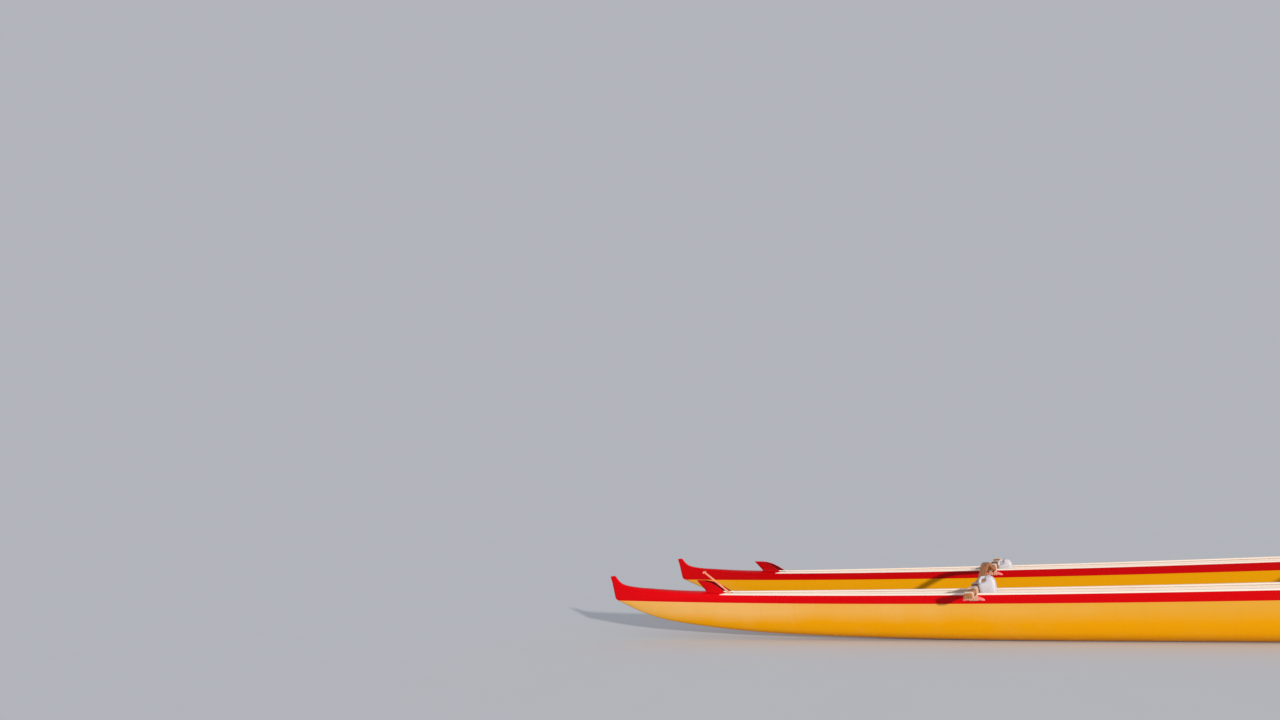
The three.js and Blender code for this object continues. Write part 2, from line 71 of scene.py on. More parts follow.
# Tables of station and height. Those of the two ends count from the bow (1) or the stern (-1) in.
KEEL = (
    (0.07, 0.5), (0.18, 0.45), (0.32, 0.388), (0.47, 0.33), (0.75, 0.25), (1.12, 0.188),
    (1.83, 0.106), (2.61, 0.056), (3.71, 0.022), (4.87, 0.004), (5.6, 0.0),
)
DECK_LINE = {
    1: (
        (-0.02, 0.825), (0.06, 0.823), (0.082, 0.792), (0.109, 0.761), (0.15, 0.727),
        (0.2, 0.706), (0.38, 0.671), (0.64, 0.646), (0.98, 0.618), (1.37, 0.597), (1.8, 0.59),
    ),
    -1: (
        (-0.02, 0.772), (0.06, 0.77), (0.082, 0.748), (0.109, 0.729), (0.15, 0.706),
        (0.2, 0.691), (0.38, 0.662), (0.64, 0.64), (0.98, 0.615), (1.37, 0.597), (1.8, 0.59),
    ),
}
STEM = {
    1: ((-0.02, 0.818), (0, 0.737), (0.015, 0.642), (0.032, 0.535), (0.05, 0.514), (0.07, 0.502)),
    -1: ((-0.02, 0.765), (0, 0.7), (0.015, 0.622), (0.032, 0.53), (0.05, 0.513), (0.07, 0.502)),
}


def fair(table, x):
    """A fair curve through a table of two columns, at x."""
    last = len(table) - 1
    if x <= table[0][0]:
        return table[0][1]
    if x >= table[last][0]:
        return table[last][1]
    i = next(k for k in range(last) if x < table[k + 1][0])

    def slope(k):
        return (table[k + 1][1] - table[k][1]) / (table[k + 1][0] - table[k][0])

    def tangent(k):
        return slope(min(k, last - 1)) if k in (0, last) else (slope(k - 1) + slope(k)) / 2

    w = table[i + 1][0] - table[i][0]
    u = (x - table[i][0]) / w
    return (
        table[i][1] * (1 + 2 * u) * (1 - u) ** 2
        + table[i + 1][1] * u * u * (3 - 2 * u)
        + w * (tangent(i) * u * (1 - u) ** 2 - tangent(i + 1) * u * u * (1 - u))
    )


def clamp(u):
    return min(1.0, max(0.0, u))


def quarter(u):
    """A quarter circle's rise, for u from 0 to 1."""
    u = clamp(u)
    return math.sqrt(u * (2 - u))


def station(aft):
    """-1 at the bow, 0 amidships and 1 at the stern."""
    return (aft - MID) / MID


def to_x(aft):
    return MID - aft


def sheer(aft):
    """The height of the sides' top edge."""
    return SHEER + SHEER_RISE * station(aft) ** 2


def band(aft):
    """The height of the red band's lower edge."""
    return BAND + BAND_RISE * station(aft) ** 2


def keel(aft):
    return fair(KEEL, aft) if aft < MID else fair(KEEL, (LENGTH - aft) / STERN_STRETCH)


def fullness(aft):
    """How round a section is: 2 would be an ellipse."""
    return END_FULLNESS + MORE_FULLNESS * (1 - station(aft) ** 2)


def band_w(aft):
    """Half of the hull's width at the band's lower edge."""
    return END_HALF_WIDTH + MORE_WIDTH * max(0.0, 1 - abs(station(aft)) ** WIDTH_POWER)


def sheer_w(aft):
    """Half of the hull's width at the sides' top edge."""
    return band_w(aft) * (1 - TUMBLEHOME * max(0.0, 1 - station(aft) ** 2))


def rail_top(aft):
    return sheer(aft) + HAIR + RAIL_THICK


def under_band(aft, inset, floor, steps):
    """Half of a section under the band, from the side in to the keel, as (half width, height)."""
    w, top, low = band_w(aft) - inset, band(aft), keel(aft) + floor
    power = 2 / fullness(aft)
    angles = [math.pi / 2 * i / steps for i in range(steps + 1)]
    return [(w * math.cos(a) ** power, top - (top - low) * math.sin(a) ** power) for a in angles]


def inside_w(aft, z):
    """Half of the hull's inside width at a height."""
    if z >= band(aft):
        t = (z - band(aft)) / (sheer(aft) - band(aft))
        return band_w(aft) + (sheer_w(aft) - band_w(aft)) * t - WALL
    w, low = band_w(aft) - WALL, keel(aft) + FLOOR
    share = clamp((band(aft) - z) / (band(aft) - low))
    return w * (1 - share ** fullness(aft)) ** (1 / fullness(aft))


def beam_bottom(aft):
    """Where a crossbeam clears the higher side of the sloping rails."""
    slope = abs(2 * SHEER_RISE * station(aft) / MID)
    return rail_top(aft) + HAIR + slope * BEAM_WIDTH / 2


ARCH_RISE, ARCH_MIDDLE = 0.11, -0.2
ARCH_TO_PORT, ARCH_TO_STARBOARD = 0.7, 0.575


def arch(y):
    """How far a crossbeam rises between the hulls; its top is nearer the starboard one."""
    share = (y - ARCH_MIDDLE) / (ARCH_TO_PORT if y > ARCH_MIDDLE else ARCH_TO_STARBOARD)
    return ARCH_RISE * math.cos(math.pi / 2 * share) ** 2 if abs(share) < 1 else 0.0


def spread(first, last, count, power=1.0):
    """Places from first to last, crowded towards both ends by the power."""
    out = []
    for i in range(count):
        u = 2 * i / (count - 1) - 1
        eased = math.copysign(1 - (1 - abs(u)) ** power, u)
        out.append(first + (last - first) * (eased + 1) / 2)
    return out


# ---- Shaping ----
def finish(bm, name, finishes, sharp=32.0, replaces=()):
    """Welds, turns the faces outwards and makes the piece, which rides on the canoe."""
    bmesh.ops.remove_doubles(bm, verts=bm.verts, dist=1e-5)
    bmesh.ops.dissolve_degenerate(bm, edges=bm.edges, dist=1e-7)
    bmesh.ops.recalc_face_normals(bm, faces=bm.faces)
    me = bpy.data.meshes.new(name)
    bm.to_mesh(me)
    bm.free()
    for finish_of in finishes:
        me.materials.append(finish_of)
    me.shade_smooth()
    me.set_sharp_from_angle(angle=math.radians(sharp))
    piece = bpy.data.objects.new(name, me)
    bpy.context.scene.collection.objects.link(piece)
    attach(piece, "root")
    if replaces:
        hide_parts(*replaces)


def sweep(bm, rings, caps=True, paint=None, own=None):
    """Extrudes a ring of vertices from station to station. paint(row, column) is a face's finish,
    and own(row, column) is a corner's own coordinates."""
    count = len(rings[0])
    sides = range(count)
    row = [bm.verts.new(p) for p in rings[0]]
    edges = [bm.edges.new((row[i], row[(i + 1) % count])) for i in sides]
    first = edges
    layer = bm.loops.layers.uv.verify() if own else None
    for r, ring in enumerate(rings[1:]):
        fresh = set(bmesh.ops.extrude_edge_only(bm, edges=edges)["geom"])
        above = [next(e.other_vert(v) for e in v.link_edges if e.other_vert(v) in fresh)
                 for v in row]
        for v, p in zip(above, ring):
            v.co = p
        for i in sides:
            j = (i + 1) % count
            face = bm.faces.get((row[i], row[j], above[j], above[i]))
            if paint:
                face.material_index = paint(r, i)
            if own:
                place = {row[i]: (r, i), row[j]: (r, i + 1), above[j]: (r + 1, i + 1),
                         above[i]: (r + 1, i)}
                for loop in face.loops:
                    loop[layer].uv = own(*place[loop.vert])
        edges = [bm.edges.get((above[i], above[(i + 1) % count])) for i in sides]
        row = above
    if caps:
        for rim, r in ((first, 0), (edges, len(rings) - 1)):
            for face in bmesh.ops.contextual_create(bm, geom=rim)["faces"]:
                if paint:
                    face.material_index = paint(r, -1)
                if own:
                    for loop in face.loops:
                        loop[layer].uv = own(r, 0)


def along(bm, axis):
    """The edges that run along one axis."""
    return [e for e in bm.edges
            if abs((e.verts[0].co - e.verts[1].co)[axis]) > 0.9 * e.calc_length() > 1e-9]


def box(size):
    """A block round the origin, to be bevelled, divided and bent."""
    bm = bmesh.new()
    bmesh.ops.create_cube(bm, size=1.0)
    bmesh.ops.scale(bm, vec=size, verts=bm.verts)
    return bm


def bevel(bm, edges, offset, segments=3):
    bmesh.ops.bevel(bm, geom=edges, offset=offset, offset_type="OFFSET", segments=segments,
                    profile=0.5, affect="EDGES", material=-1, clamp_overlap=True)


def divide(bm, axis, cuts):
    """Cuts a block across one axis."""
    bmesh.ops.subdivide_edges(bm, edges=along(bm, axis), cuts=cuts, use_grid_fill=True)


def eased(points, radius, steps=4):
    """A closed outline of (a, b) points with its corners eased, by one radius or one for each."""
    out = []
    n = len(points)
    for i, p in enumerate(points):
        p, q, s = Vector(p), Vector(points[i - 1]), Vector(points[(i + 1) % n])
        r = radius[i] if isinstance(radius, (list, tuple)) else radius
        a, b = (q - p).normalized(), (s - p).normalized()
        cut = min(r, (q - p).length * 0.48, (s - p).length * 0.48)
        for k in range(steps + 1):
            t = k / steps
            out.append(tuple(p + a * cut * (1 - t) ** 2 + b * cut * t * t))
    return out


# ---- Finishes ----
class Finish:
    """A short way to lay out a material's nodes."""

    def __init__(self, name):
        self.mat = bpy.data.materials.new(name)
        self.mat.use_nodes = True
        self.tree = self.mat.node_tree
        self.bsdf = self.tree.nodes["Principled BSDF"]

    def add(self, kind, inputs=(), **settings):
        node = self.tree.nodes.new("ShaderNode" + kind)
        for key, value in settings.items():
            setattr(node, key, value)
        for key, value in dict(inputs).items():
            if isinstance(value, bpy.types.NodeSocket):
                self.tree.links.new(value, node.inputs[key])
            else:
                node.inputs[key].default_value = value
        return node

    def link(self, socket, name):
        self.tree.links.new(socket, self.bsdf.inputs[name])

    def put(self, **values):
        for key, value in values.items():
            self.bsdf.inputs[key.replace("_", " ")].default_value = value

    def coords(self, scale=(1, 1, 1), kind="Object"):
        tex = self.add("TexCoord").outputs[kind]
        return self.add("Mapping", {"Vector": tex, "Scale": scale}).outputs["Vector"]

    def noise(self, vector, scale, detail=3.0, rough=0.55, distort=0.0):
        inputs = {"Vector": vector, "Scale": scale, "Detail": detail, "Roughness": rough}
        inputs["Distortion"] = distort
        return self.add("TexNoise", inputs).outputs["Fac"]

    def ramp(self, fac, low, high, first=0.0, last=1.0):
        inputs = {"Value": fac, "From Min": low, "From Max": high, "To Min": first, "To Max": last}
        return self.add("MapRange", inputs).outputs["Result"]

    def mix(self, fac, a, b, blend="MIX"):
        node = self.add("Mix", data_type="RGBA", blend_type=blend)
        for index, value in ((0, fac), (6, a), (7, b)):
            if isinstance(value, bpy.types.NodeSocket):
                self.tree.links.new(value, node.inputs[index])
            else:
                node.inputs[index].default_value = value
        return node.outputs[2]

    def math(self, how, a, b=0.0):
        node = self.add("Math", operation=how)
        for index, value in ((0, a), (1, b)):
            if isinstance(value, bpy.types.NodeSocket):
                self.tree.links.new(value, node.inputs[index])
            else:
                node.inputs[index].default_value = value
        return node.outputs[0]

    def bump(self, height, strength, distance=0.01, normal=None):
        inputs = {"Height": height, "Strength": strength, "Distance": distance}
        if normal:
            inputs["Normal"] = normal
        return self.add("Bump", inputs).outputs["Normal"]


def scaled(colour, share):
    """A darker or paler tone of a colour."""
    return tuple(c * share for c in colour[:3]) + (1,)


def gelcoat(name, low, high, bow, inboard, foot, chalk, sky_sheen_from, sky_sheen_to):
    """Painted laminate: outboard it is paler towards the gunwale (between the two heights), which
    is painted sky reflection, and paler towards the bow; the sides between the hulls have their own
    tone; it is darker on the underside and near the keel, which is painted shade; with faint runs,
    hair scratches along the hull and rubbed patches near the keel."""
    n = Finish(name)
    plain = n.coords()
    place = n.add("SeparateXYZ", {"Vector": plain}).outputs
    cloud = n.noise(plain, 1.3, 4.0)
    drift = n.ramp(cloud, 0.3, 0.7, -0.22, 0.22)
    # Painted sky reflection: the laminate turns to its high tone between the two heights, towards
    # the gunwale.
    sky_sheen = n.math("ADD", n.ramp(place["Z"], sky_sheen_from, sky_sheen_to), drift)
    forward = n.math("ADD", n.ramp(place["X"], 0.5, 5.2), n.math("MULTIPLY", drift, 0.5))
    colour = n.mix(n.ramp(sky_sheen, 0.0, 1.0), low, n.mix(n.ramp(forward, 0.0, 1.0), high, bow))
    out = n.ramp(n.math("ABSOLUTE", place["Y"]), SPACING / 2 - 0.08, SPACING / 2 + 0.08)
    colour = n.mix(out, inboard, colour)
    # Painted shade: the foot tone where the hull faces down and near the keel, as its shade and
    # contact shadow.
    facing = n.add("SeparateXYZ", {"Vector": n.add("NewGeometry").outputs["Normal"]}).outputs["Z"]
    under = n.ramp(facing, -0.50, -0.96, 0.0, 0.75)
    colour = n.mix(n.math("MAXIMUM", under, n.ramp(place["Z"], 0.10, 0.0, 0.0, 0.7)), colour, foot)
    runs = n.noise(n.coords((7, 7, 0.5)), 3.0, 4.0)
    colour = n.mix(n.ramp(runs, 0.58, 0.80, 0, 0.14), colour, scaled(low, 0.75))
    hair = n.ramp(n.noise(n.coords((1.4, 42, 42)), 2.2, 5.0, 0.7), 0.60, 0.74, 0, 0.22)
    rub = n.ramp(n.noise(n.coords((3, 9, 9)), 2.6, 5.0, 0.65), 0.50, 0.72)
    low_rub = n.math("MULTIPLY", rub, n.ramp(place["Z"], 0.14, 0.02, 0.0, 0.4))
    marks = n.math("MAXIMUM", hair, low_rub)
    n.link(n.mix(marks, colour, chalk), "Base Color")
    fine = n.ramp(n.noise(plain, 22.0, 4.0), 0.3, 0.7, 0.20, 0.32)
    n.link(n.math("ADD", fine, n.math("MULTIPLY", marks, 0.4)), "Roughness")
    waves = n.bump(n.noise(n.coords((0.5, 1, 1)), 2.6, 1.0), 0.22, 0.010)
    n.link(n.bump(n.noise(plain, 240.0, 1.0), 0.04, 0.0006, waves), "Normal")
    n.put(Specular_IOR_Level=0.06, Coat_Weight=0.04, Coat_Roughness=0.06)
    return n.mat


def laid_cloth(name):
    """White paint over laid glass cloth, grubby low down."""
    n = Finish(name)
    plain = n.coords()
    height = n.add("SeparateXYZ", {"Vector": plain}).outputs["Z"]
    cloud = n.noise(plain, 5.0, 5.0)
    grime = n.math("MULTIPLY", n.ramp(cloud, 0.4, 0.75), n.ramp(height, 0.40, 0.05, 0.0, 0.75))
    n.link(n.mix(grime, (0.96, 0.85, 0.76, 1), (0.42, 0.35, 0.26, 1)), "Base Color")
    n.link(n.ramp(cloud, 0.3, 0.7, 0.35, 0.6), "Roughness")
    weft = n.add("TexWave", {"Vector": plain, "Scale": 160.0, "Distortion": 0.6})
    warp = n.add("TexWave", {"Vector": plain, "Scale": 160.0}, bands_direction="Z")
    cloth = n.math("ADD", weft.outputs["Fac"], warp.outputs["Fac"])
    lumps = n.bump(n.noise(plain, 9.0, 2.0), 0.3, 0.006)
    n.link(n.bump(cloth, 0.12, 0.0008, lumps), "Normal")
    return n.mat


def white_paint(name, colour, shade):
    """Thick white paint on wood: hair cracks along the grain, and small chips."""
    n = Finish(name)
    grain = n.noise(n.coords((1.2, 40, 40)), 2.0, 5.0, 0.65)
    chip = n.ramp(n.noise(n.coords(), 26.0, 6.0, 0.7), 0.69, 0.73)
    tone = n.mix(n.ramp(grain, 0.35, 0.7), colour, shade)
    n.link(n.mix(n.math("MULTIPLY", chip, 0.8), tone, (0.46, 0.33, 0.21, 1)), "Base Color")
    n.link(n.ramp(grain, 0.3, 0.7, 0.32, 0.5), "Roughness")
    height = n.math("SUBTRACT", grain, n.math("MULTIPLY", chip, 0.6))
    n.link(n.bump(height, 0.25, 0.0012), "Normal")
    n.put(Coat_Weight=0.12, Coat_Roughness=0.2)
    return n.mat


def varnished(name, light, dark, stretch, layer=None, gloss=0.32, coat=0.3,
              weathered=(0.42, 0.36, 0.30, 1)):
    """Varnished wood with its grain along one axis. layer is the width of a glued board, across
    the own v, and the share of it that its dark glue line takes. Patches of it are weathered."""
    n = Finish(name)
    figure = n.noise(n.coords(stretch), 1.6, 4.0, 0.6, 0.8)
    pores = n.noise(n.coords(tuple(s * 6 for s in stretch)), 3.0, 6.0, 0.7)
    tone = n.math("ADD", n.math("MULTIPLY", figure, 0.65), n.math("MULTIPLY", pores, 0.35))
    colour = n.mix(n.ramp(tone, 0.36, 0.64), light, dark)
    if layer:
        depth = n.add("SeparateXYZ", {"Vector": n.coords(kind="UV")}).outputs["Y"]
        count = n.math("DIVIDE", n.math("ADD", depth, 10.0 * layer[0]), layer[0])
        glue = n.math("GREATER_THAN", n.math("FRACT", count), 1 - layer[1])
        tint = n.add("TexWhiteNoise", {"W": n.math("FLOOR", count)}, noise_dimensions="1D")
        darker = n.ramp(tint.outputs["Value"], 0, 1, 0, 0.5)
        shade = n.mix(darker, (1, 1, 1, 1), (0.62, 0.52, 0.45, 1))
        colour = n.mix(1.0, colour, shade, "MULTIPLY")
        colour = n.mix(n.math("MULTIPLY", glue, 0.75), colour, (0.07, 0.03, 0.015, 1))
    weather = n.ramp(n.noise(n.coords(), 4.0, 5.0), 0.52, 0.8, 0, 0.35)
    n.link(n.mix(weather, colour, weathered), "Base Color")
    n.link(n.ramp(pores, 0.3, 0.7, gloss - 0.06, gloss + 0.14), "Roughness")
    n.link(n.bump(pores, 0.18, 0.0008), "Normal")
    n.put(Specular_IOR_Level=0.15 + coat, Coat_Weight=coat, Coat_Roughness=0.14)
    return n.mat


def laid_cord(name, light, dark, weathered):
    """Three-strand cord: its own u runs along it and v once round it. Paler where it faces up,
    partly from sun-weathering and partly painted sky light, and darker in the grooves between
    strands, which is painted shade.
    """
    n = Finish(name)
    own = n.add("SeparateXYZ", {"Vector": n.coords(kind="UV")})
    lay = n.math("ADD", n.math("MULTIPLY", own.outputs["X"], 95.0),
                 n.math("MULTIPLY", own.outputs["Y"], 3.0))
    strand = n.math("PINGPONG", lay, 0.5)
    yarn = n.noise(n.coords(), 900.0, 3.0)
    dirt = n.noise(n.coords(), 18.0, 4.0)
    upward = n.add("SeparateXYZ", {"Vector": n.add("NewGeometry").outputs["Normal"]}).outputs["Z"]
    # Partly sun-weathering, partly painted sky light: the cord turns to its third tone where it
    # faces up.
    sunned_and_sky_lit = n.mix(n.ramp(upward, 0.1, 0.9), light, weathered)
    # Painted shade: the grooves between strands go darkest.
    deep = n.mix(n.ramp(strand, 0.02, 0.3), scaled(dark, 0.45), sunned_and_sky_lit)
    colour = n.mix(n.ramp(dirt, 0.42, 0.72, 0, 0.6), deep, dark)
    n.link(n.mix(n.ramp(yarn, 0.3, 0.7, 0, 0.3), colour, dark), "Base Color")
    height = n.math("ADD", n.math("POWER", strand, 0.5), n.math("MULTIPLY", yarn, 0.18))
    n.link(n.bump(height, 0.9, 0.0026), "Normal")
    n.put(Roughness=0.9, Sheen_Weight=0.25, Sheen_Roughness=0.5)
    return n.mat


def blown_plastic(name, colour, stained):
    """Blow-moulded plastic, slightly see-through, scuffed and stained."""
    n = Finish(name)
    plain = n.coords()
    stain = n.ramp(n.noise(plain, 16.0, 5.0), 0.5, 0.8, 0, 0.5)
    scuff = n.ramp(n.noise(n.coords((30, 30, 160)), 2.0, 5.0, 0.7), 0.6, 0.72, 0, 0.4)
    n.link(n.mix(scuff, n.mix(stain, colour, stained), (0.62, 0.64, 0.66, 1)), "Base Color")
    n.link(n.ramp(n.noise(plain, 40.0, 3.0), 0.3, 0.7, 0.28, 0.45), "Roughness")
    n.link(n.bump(n.noise(plain, 30.0, 2.0), 0.25, 0.002), "Normal")
    n.put(Subsurface_Weight=0.3, Subsurface_Radius=(0.01, 0.01, 0.01), Subsurface_Scale=0.5,
          Transmission_Weight=0.12)
    return n.mat


# In each gelcoat the high tone is painted sky reflection and the foot tone is painted shade.
YELLOW = gelcoat("yellow_gelcoat", low=(0.77, 0.332, 0.0003, 1), high=(0.72, 0.357, 0.034, 1),
                 bow=(0.78, 0.43, 0.12, 1), inboard=(0.74, 0.330, 0.002, 1),
                 foot=(0.46, 0.14, 0.001, 1), chalk=(0.84, 0.43, 0.03, 1),
                 sky_sheen_from=0.20, sky_sheen_to=0.345)
RED = gelcoat("red_gelcoat", low=(0.59, 0.0006, 0.002, 1), high=(0.61, 0.0006, 0.002, 1),
              bow=(0.72, 0.0008, 0.004, 1), inboard=(0.50, 0.0006, 0.002, 1),
              foot=(0.5, 0.001, 0.002, 1), chalk=(0.68, 0.012, 0.010, 1),
              sky_sheen_from=0.45, sky_sheen_to=0.55)
INSIDE = laid_cloth("inside_paint")
RAIL = white_paint("rail_paint", (0.97, 0.84, 0.74, 1), (0.92, 0.77, 0.66, 1))
HORN = white_paint("cleat_paint", (0.88, 0.18, 0.165, 1), (0.80, 0.13, 0.12, 1))
# Painted shade: this dark red stands in for the shade on the splash guard's inner side.
SHADE_RED = (0.13, 0.0006, 0.002, 1)
GUARD_SHADE = gelcoat("painted_shade_red_gelcoat", *[SHADE_RED] * 5, chalk=(0.28, 0.01, 0.01, 1),
                       sky_sheen_from=0.45, sky_sheen_to=0.55)
SEAT_WOOD = varnished("seat_wood", (0.50, 0.27, 0.11, 1), (0.25, 0.11, 0.04, 1), (14, 1.2, 14))
BEAM_WOOD = varnished("beam_wood", (0.58, 0.24, 0.075, 1), (0.31, 0.12, 0.045, 1), (16, 0.9, 16),
                      layer=(BEAM_WIDTH / 4, 0.20), gloss=0.5, coat=0.04,
                      weathered=(0.26, 0.17, 0.13, 1))
PADDLE_WOOD = varnished("paddle_wood", (1.0, 0.40, 0.24, 1), (0.70, 0.21, 0.11, 1), (2, 12, 12),
                        layer=(0.019, 0.05), coat=0.08, weathered=(0.90, 0.42, 0.30, 1))
# The cord's last tone, on its upward faces, is partly sun-weathering and partly painted sky light.
CORD = laid_cord("lashing_cord", (0.96, 0.58, 0.37, 1), (0.52, 0.27, 0.15, 1),
                 (0.94, 0.84, 0.82, 1))
JUG = blown_plastic("jug_plastic", (0.73, 0.695, 0.75, 1), (0.57, 0.50, 0.55, 1))
CAP = blown_plastic("cap_plastic", (0.52, 0.53, 0.62, 1), (0.36, 0.35, 0.36, 1))


# ---- Hulls ----
def shell(hull, y):
    """The yellow part of a hull, white inside, with a tank behind each bulkhead."""
    outer, inner = 18, 14  # faces from gunwale to keel, outside and inside
    ends = (BULKHEAD[1], LENGTH - BULKHEAD[-1])

    def section(aft, hollow):
        out = under_band(aft, 0, 0, outer)
        out = out + [(-w, z) for w, z in out[-2::-1]]
        if hollow:
            lining = under_band(aft, WALL, FLOOR, inner)
        else:
            w = max(band_w(aft) - WALL, 0.0)
            lining = [(w * (1 - i / inner), band(aft)) for i in range(inner + 1)]
        lining = [(-w, z) for w, z in lining] + [(w, z) for w, z in lining[-2::-1]]
        return [(to_x(aft), y + w, z) for w, z in out + lining]

    sections = []
    first, last = 0.075, LENGTH - 0.085  # where the yellow meets the stems
    for aft in sorted(set(spread(first, last, 170, 1.5)) | set(ends)):
        if aft == ends[0]:
            sections.append(section(aft, False))
        sections.append(section(aft, ends[0] <= aft <= ends[1]))
        if aft == ends[1]:
            sections.append(section(aft, False))
    bm = bmesh.new()
    sweep(bm, sections, paint=lambda r, i: 0 if i < 2 * outer else 1)
    finish(bm, f"{hull}_shell_skin", [YELLOW, INSIDE],
           replaces=[f"{hull}_shell_{part}" for part in ("bow", "middle", "stern")])


def strake(hull, y, where, side):
    """The red band along one side, white inside."""
    rows = 5
    sections = []
    for aft in spread(BOW_DECK, LENGTH - STERN_DECK, 90):
        b, s, low, high = band_w(aft), sheer_w(aft), band(aft), sheer(aft)
        skin = [(b + (s - b) * (i / rows) ** 1.3, low + (high - low) * i / rows)
                for i in range(rows + 1)]
        lining = [(w - WALL, z) for w, z in skin[::-1]]
        sections.append([(to_x(aft), y + side * w, z) for w, z in skin + lining])
    bm = bmesh.new()
    sweep(bm, sections, paint=lambda r, i: 0 if i < rows else 1)
    finish(bm, f"{hull}_strake_{where}_skin", [RED, INSIDE],
           replaces=[f"{hull}_strake_{end}_{where}" for end in BEAMS])


RAIL_POINT = {1: 0.115, -1: 0.06}  # how far a rail reaches onto the bow's and the stern's deck
RAIL_EASE = 0.0065  # the radius of its upper corners


def rail(hull, y, where, side):
    """A gunwale rail with eased corners, drawn out to a thin point on each deck's edge."""
    first, last = BOW_DECK - RAIL_POINT[1], LENGTH - STERN_DECK + RAIL_POINT[-1]
    stations = [first, first + 0.006, first + 0.02, first + 0.05, first + 0.08, first + 0.11]
    stations += spread(first + 0.14, last - 0.10, 90)
    stations += [last - 0.07, last - 0.04, last - 0.015, last - 0.005, last]
    sections = []
    for aft in stations:
        if aft < MID:
            full, turn = clamp((aft - first) / (RAIL_POINT[1] + 0.02)), 1
        else:
            full, turn = clamp((last - aft) / (RAIL_POINT[-1] + 0.02)), -1
        end = aft if turn > 0 else LENGTH - aft
        length = BOW_DECK if turn > 0 else STERN_DECK
        outer = sheer_w(aft) + RAIL_OUT * (0.25 + 0.75 * full)
        inner = outer - (WALL + RAIL_IN + RAIL_OUT) * (0.12 + 0.88 * full)
        low, high = sheer(aft) + HAIR, sheer(aft) + RAIL_THICK
        if end < length:
            edge = fair(DECK_LINE[turn], end) - CROWN * sheer_w(aft)
            low = max(low, edge - 0.004)
            high = max(edge + 0.003 + 1.5 * full * RAIL_THICK, edge + 0.004)
            high = high + (sheer(aft) + RAIL_THICK - high) * clamp((end - length + 0.05) / 0.05)
        soft = RAIL_EASE * (0.3 + 0.7 * full)
        outline = eased([(inner, low), (outer, low), (outer, high), (inner, high)],
                        [0.002, 0.002, soft, soft])
        sections.append([(to_x(aft), y + side * w, z) for w, z in outline])
    bm = bmesh.new()
    sweep(bm, sections)
    finish(bm, f"{hull}_rail_{where}_skin", [RAIL],
           replaces=[f"{hull}_rail_{end}_{where}" for end in BEAMS])


SHEER_EASE = 0.011  # the radius of the deck's rounded edge
STEM_EASE = 0.035  # how far behind its leading edge a stem has its full width


def end_piece(hull, y, turn):
    """The red bow (turn 1) or stern (turn -1) piece: stem, crowned deck and the cockpit's V.
    One half is swept from the stem to the cockpit, then mirrored."""
    top, stem = DECK_LINE[turn], STEM[turn]
    length = BOW_DECK if turn > 0 else STERN_DECK
    side, corner, across = 6, 4, 9  # faces up the side, round the deck's edge and over the deck
    apex = length - V_DEPTH + 0.015  # the V's point
    mouth = sheer_w(length) - WALL - RAIL_IN + 0.006  # half of its width at the deck's end
    bulkhead = BULKHEAD[turn]
    slant = (length + 0.02 - apex) / mouth

    def behind(distance, z):
        """How far a point lies behind the stem's leading edge."""
        for (d0, z0), (d1, z1) in zip(stem, stem[1:]):
            if z >= z1:
                return distance - (d0 + (d1 - d0) * max(0.0, (z0 - z) / (z0 - z1)))
        return distance - stem[-1][0]

    def half_section(distance, hollow):
        aft = distance if turn > 0 else LENGTH - distance
        low = fair(stem, distance) if distance < 0.07 else band(aft)
        crest, edge, base = fair(top, distance), sheer_w(aft), band_w(aft)
        crown = CROWN * edge
        shoulder = crest - crown
        r = min(SHEER_EASE, 0.5 * edge)
        w_in = max(0.0, (distance - apex) / slant)

        def deck(w):
            return crest - crown * (w / edge) ** 2

        points = [(base + (edge - base) * i / side, low + (shoulder - r - low) * i / side)
                  for i in range(side + 1)]
        for k in range(1, corner + 1):
            a = math.pi / 2 * k / corner
            rise = (r + crown * 0.1) * math.sin(a)
            points.append((edge - r * (1 - math.cos(a)), shoulder - r + rise))
        for k in range(1, across + 1):
            w = edge - r + (w_in - edge + r) * k / across
            points.append((w, deck(w)))
        under = edge - WALL
        if hollow:
            ways = [w_in + (under - w_in) * k / 5 for k in range(6)]
            points += [(w, deck(w) - DECK) for w in ways] + [(base - WALL, low)]
        else:
            points += [(0.0, crest - DECK - (crest - DECK - low) * k / 6) for k in range(7)]
        soft = []
        for w, z in points:
            s = clamp(behind(distance, z) / STEM_EASE)
            soft.append((w * (0.12 + 0.88 * quarter(s)), z))
        return [(to_x(aft), w, z) for w, z in soft]

    places = [-0.02 + 0.004 * i for i in range(26)] + spread(0.09, length, 70) + [bulkhead, apex]
    sections = []
    for distance in sorted(set(places)):
        if distance == bulkhead:
            sections.append(half_section(distance, False))
        sections.append(half_section(distance, distance >= bulkhead))
    bm = bmesh.new()
    foot = len(sections[0]) - 1  # the column of faces along the lower edge
    last_red = len(sections) - 6  # after this row the bow's deck is white, beside the guard's ends

    def finish_of(r, i):
        red = side + corner - 1 if turn > 0 and r > last_red else side + corner + across
        return 0 if i == foot or i < red else 1

    sweep(bm, sections, paint=finish_of)
    for f in bm.faces:
        if all(abs(v.co.x - sections[-1][0][0]) < 1e-6 for v in f.verts):
            f.material_index = 1
    middle = [f for f in bm.faces if all(abs(v.co.y) < 1e-6 for v in f.verts)]
    bmesh.ops.delete(bm, geom=middle, context="FACES")
    bmesh.ops.mirror(bm, geom=bm.verts[:] + bm.edges[:] + bm.faces[:], axis="Y", merge_dist=1e-6)
    bmesh.ops.translate(bm, vec=(0, y, 0), verts=bm.verts)
    word = "bow" if turn > 0 else "stern"
    finish(bm, f"{hull}_{word}_piece_skin", [RED, INSIDE],
           replaces=[f"{hull}_{word}_piece"])


